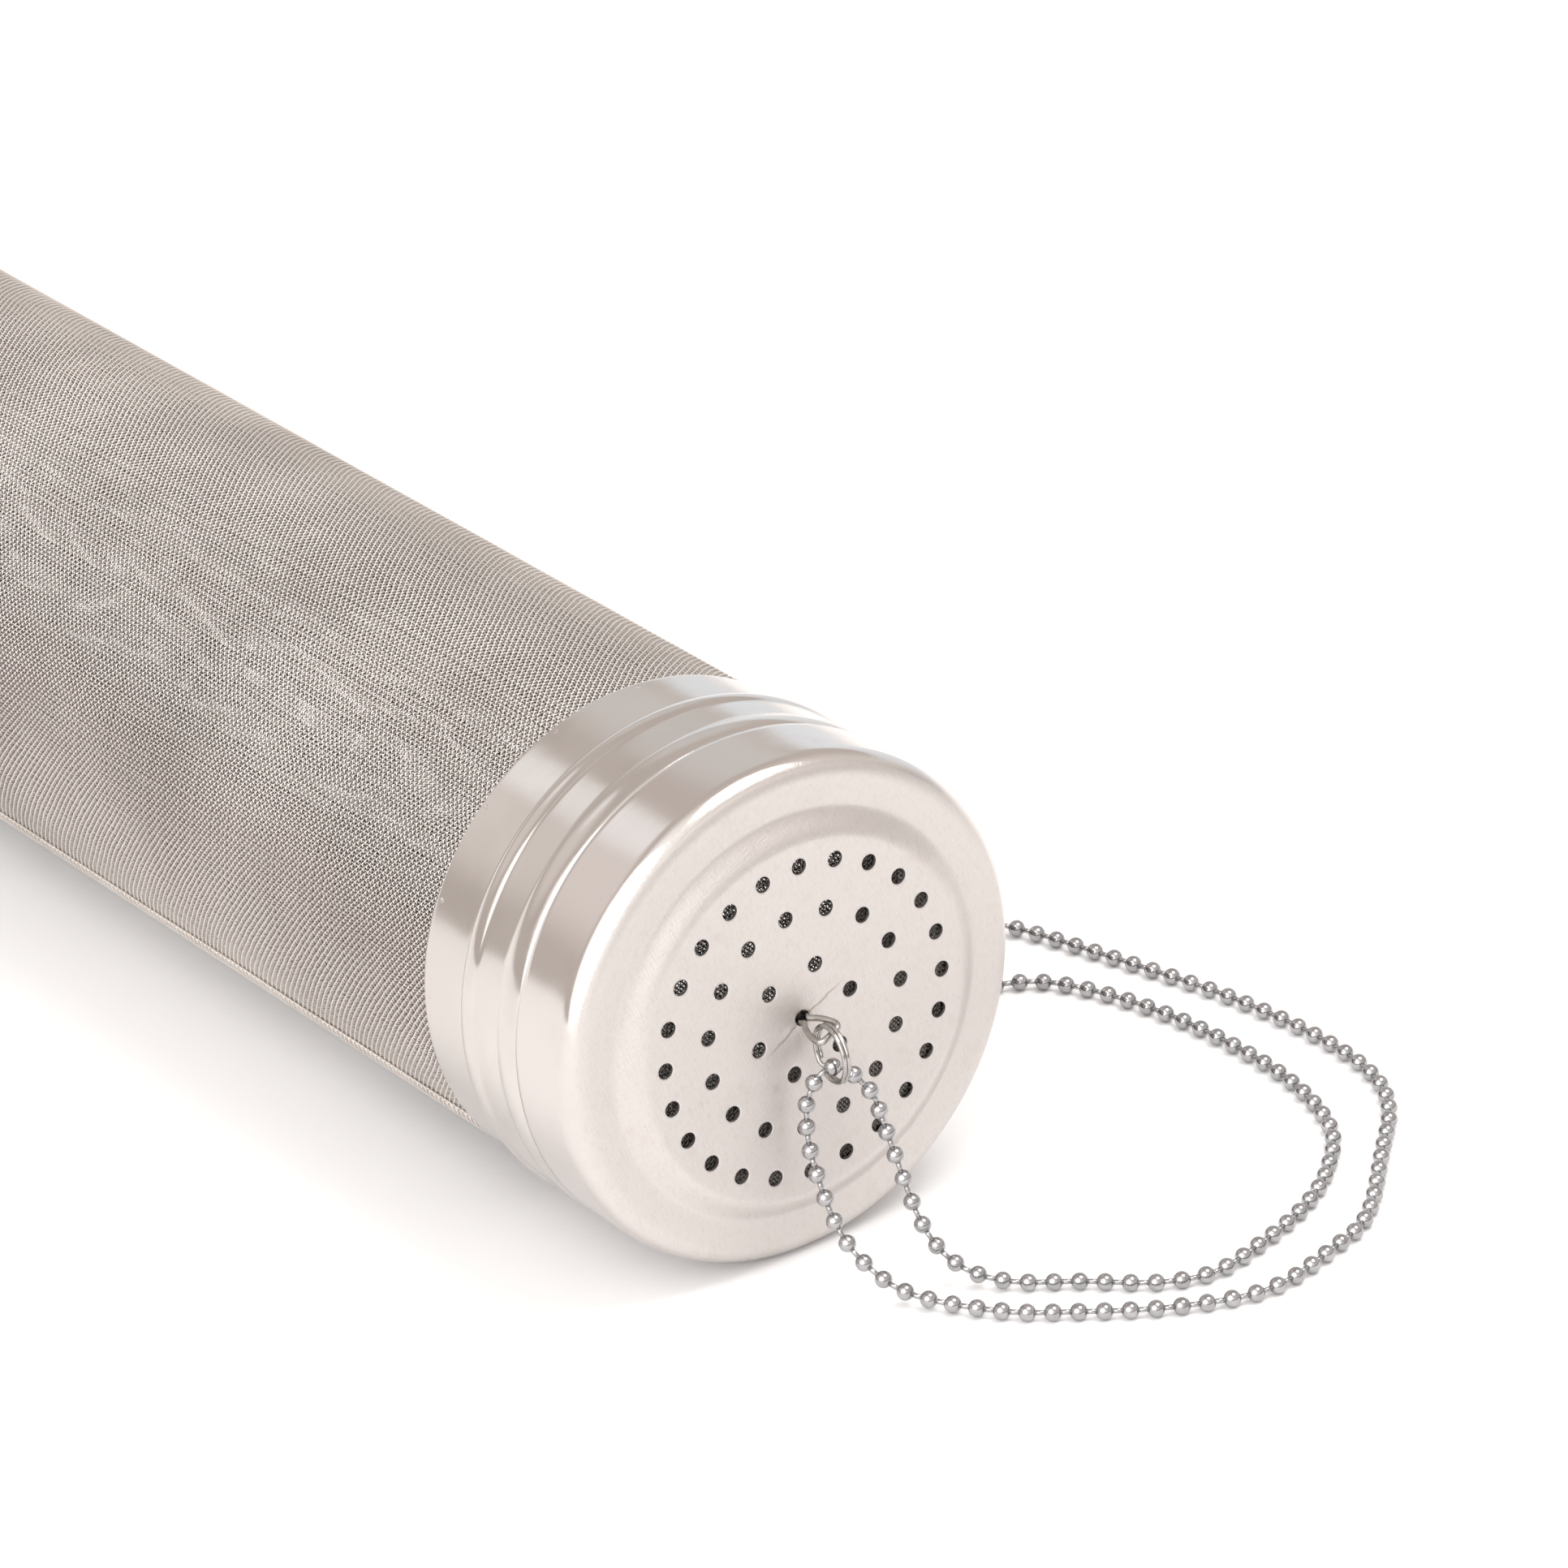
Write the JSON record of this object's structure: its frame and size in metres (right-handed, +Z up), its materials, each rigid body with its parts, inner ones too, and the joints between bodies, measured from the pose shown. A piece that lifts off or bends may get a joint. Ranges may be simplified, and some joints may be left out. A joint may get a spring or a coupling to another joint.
{
  "type": "tea infuser",
  "caption": "Long wire-cloth infuser tube with a pressed base, a beaded collar and a push-on perforated lid on a ball chain.",
  "frame": {"origin": "on the resting surface, midway along the tube and its hanger, under the tube's axis", "axes": "+X along the tube's axis towards the lid, +Z up, the tube lying on its side"},
  "size_m": [0.3493, 0.1237, 0.0728],
  "materials": {
    "wire_cloth": "woven stainless wire",
    "polished_sheet": "polished stainless sheet",
    "satin_sheet": "satin stainless face, polished skirt",
    "dull_sheet": "plain stainless sheet",
    "lid_cloth": "fine woven wire",
    "bright_wire": "bright drawn wire",
    "bead_chain": "plated bead chain",
    "clasp_metal": "plated pressed clasp"
  },
  "bodies": {
    "tube": {"mesh_tube": "wire_cloth", "collar": "polished_sheet", "base_cup": "polished_sheet"},
    "lid": {"lid_shell": "satin_sheet", "lid_mesh": "lid_cloth", "lid_retainer": "dull_sheet", "eye_washer": "dull_sheet", "hanger_eye": "bright_wire", "ball_chain": "bead_chain", "chain_clasp": "clasp_metal"},
    "ring": {"split_ring": "bright_wire", "chain_bight": "bead_chain"}
  },
  "joints": [
    {"name": "lid_pull", "type": "slide", "parent": "tube", "child": "lid", "axis": [1, 0, 0], "range_m": [0, 0.045]},
    {"name": "ring_swing", "type": "hinge", "parent": "lid", "child": "ring", "pos_m": [0.15069, 0, 0.0364], "axis": [-0.1045, -0.9945, 0], "range_deg": [-10, 25]}
  ]
}
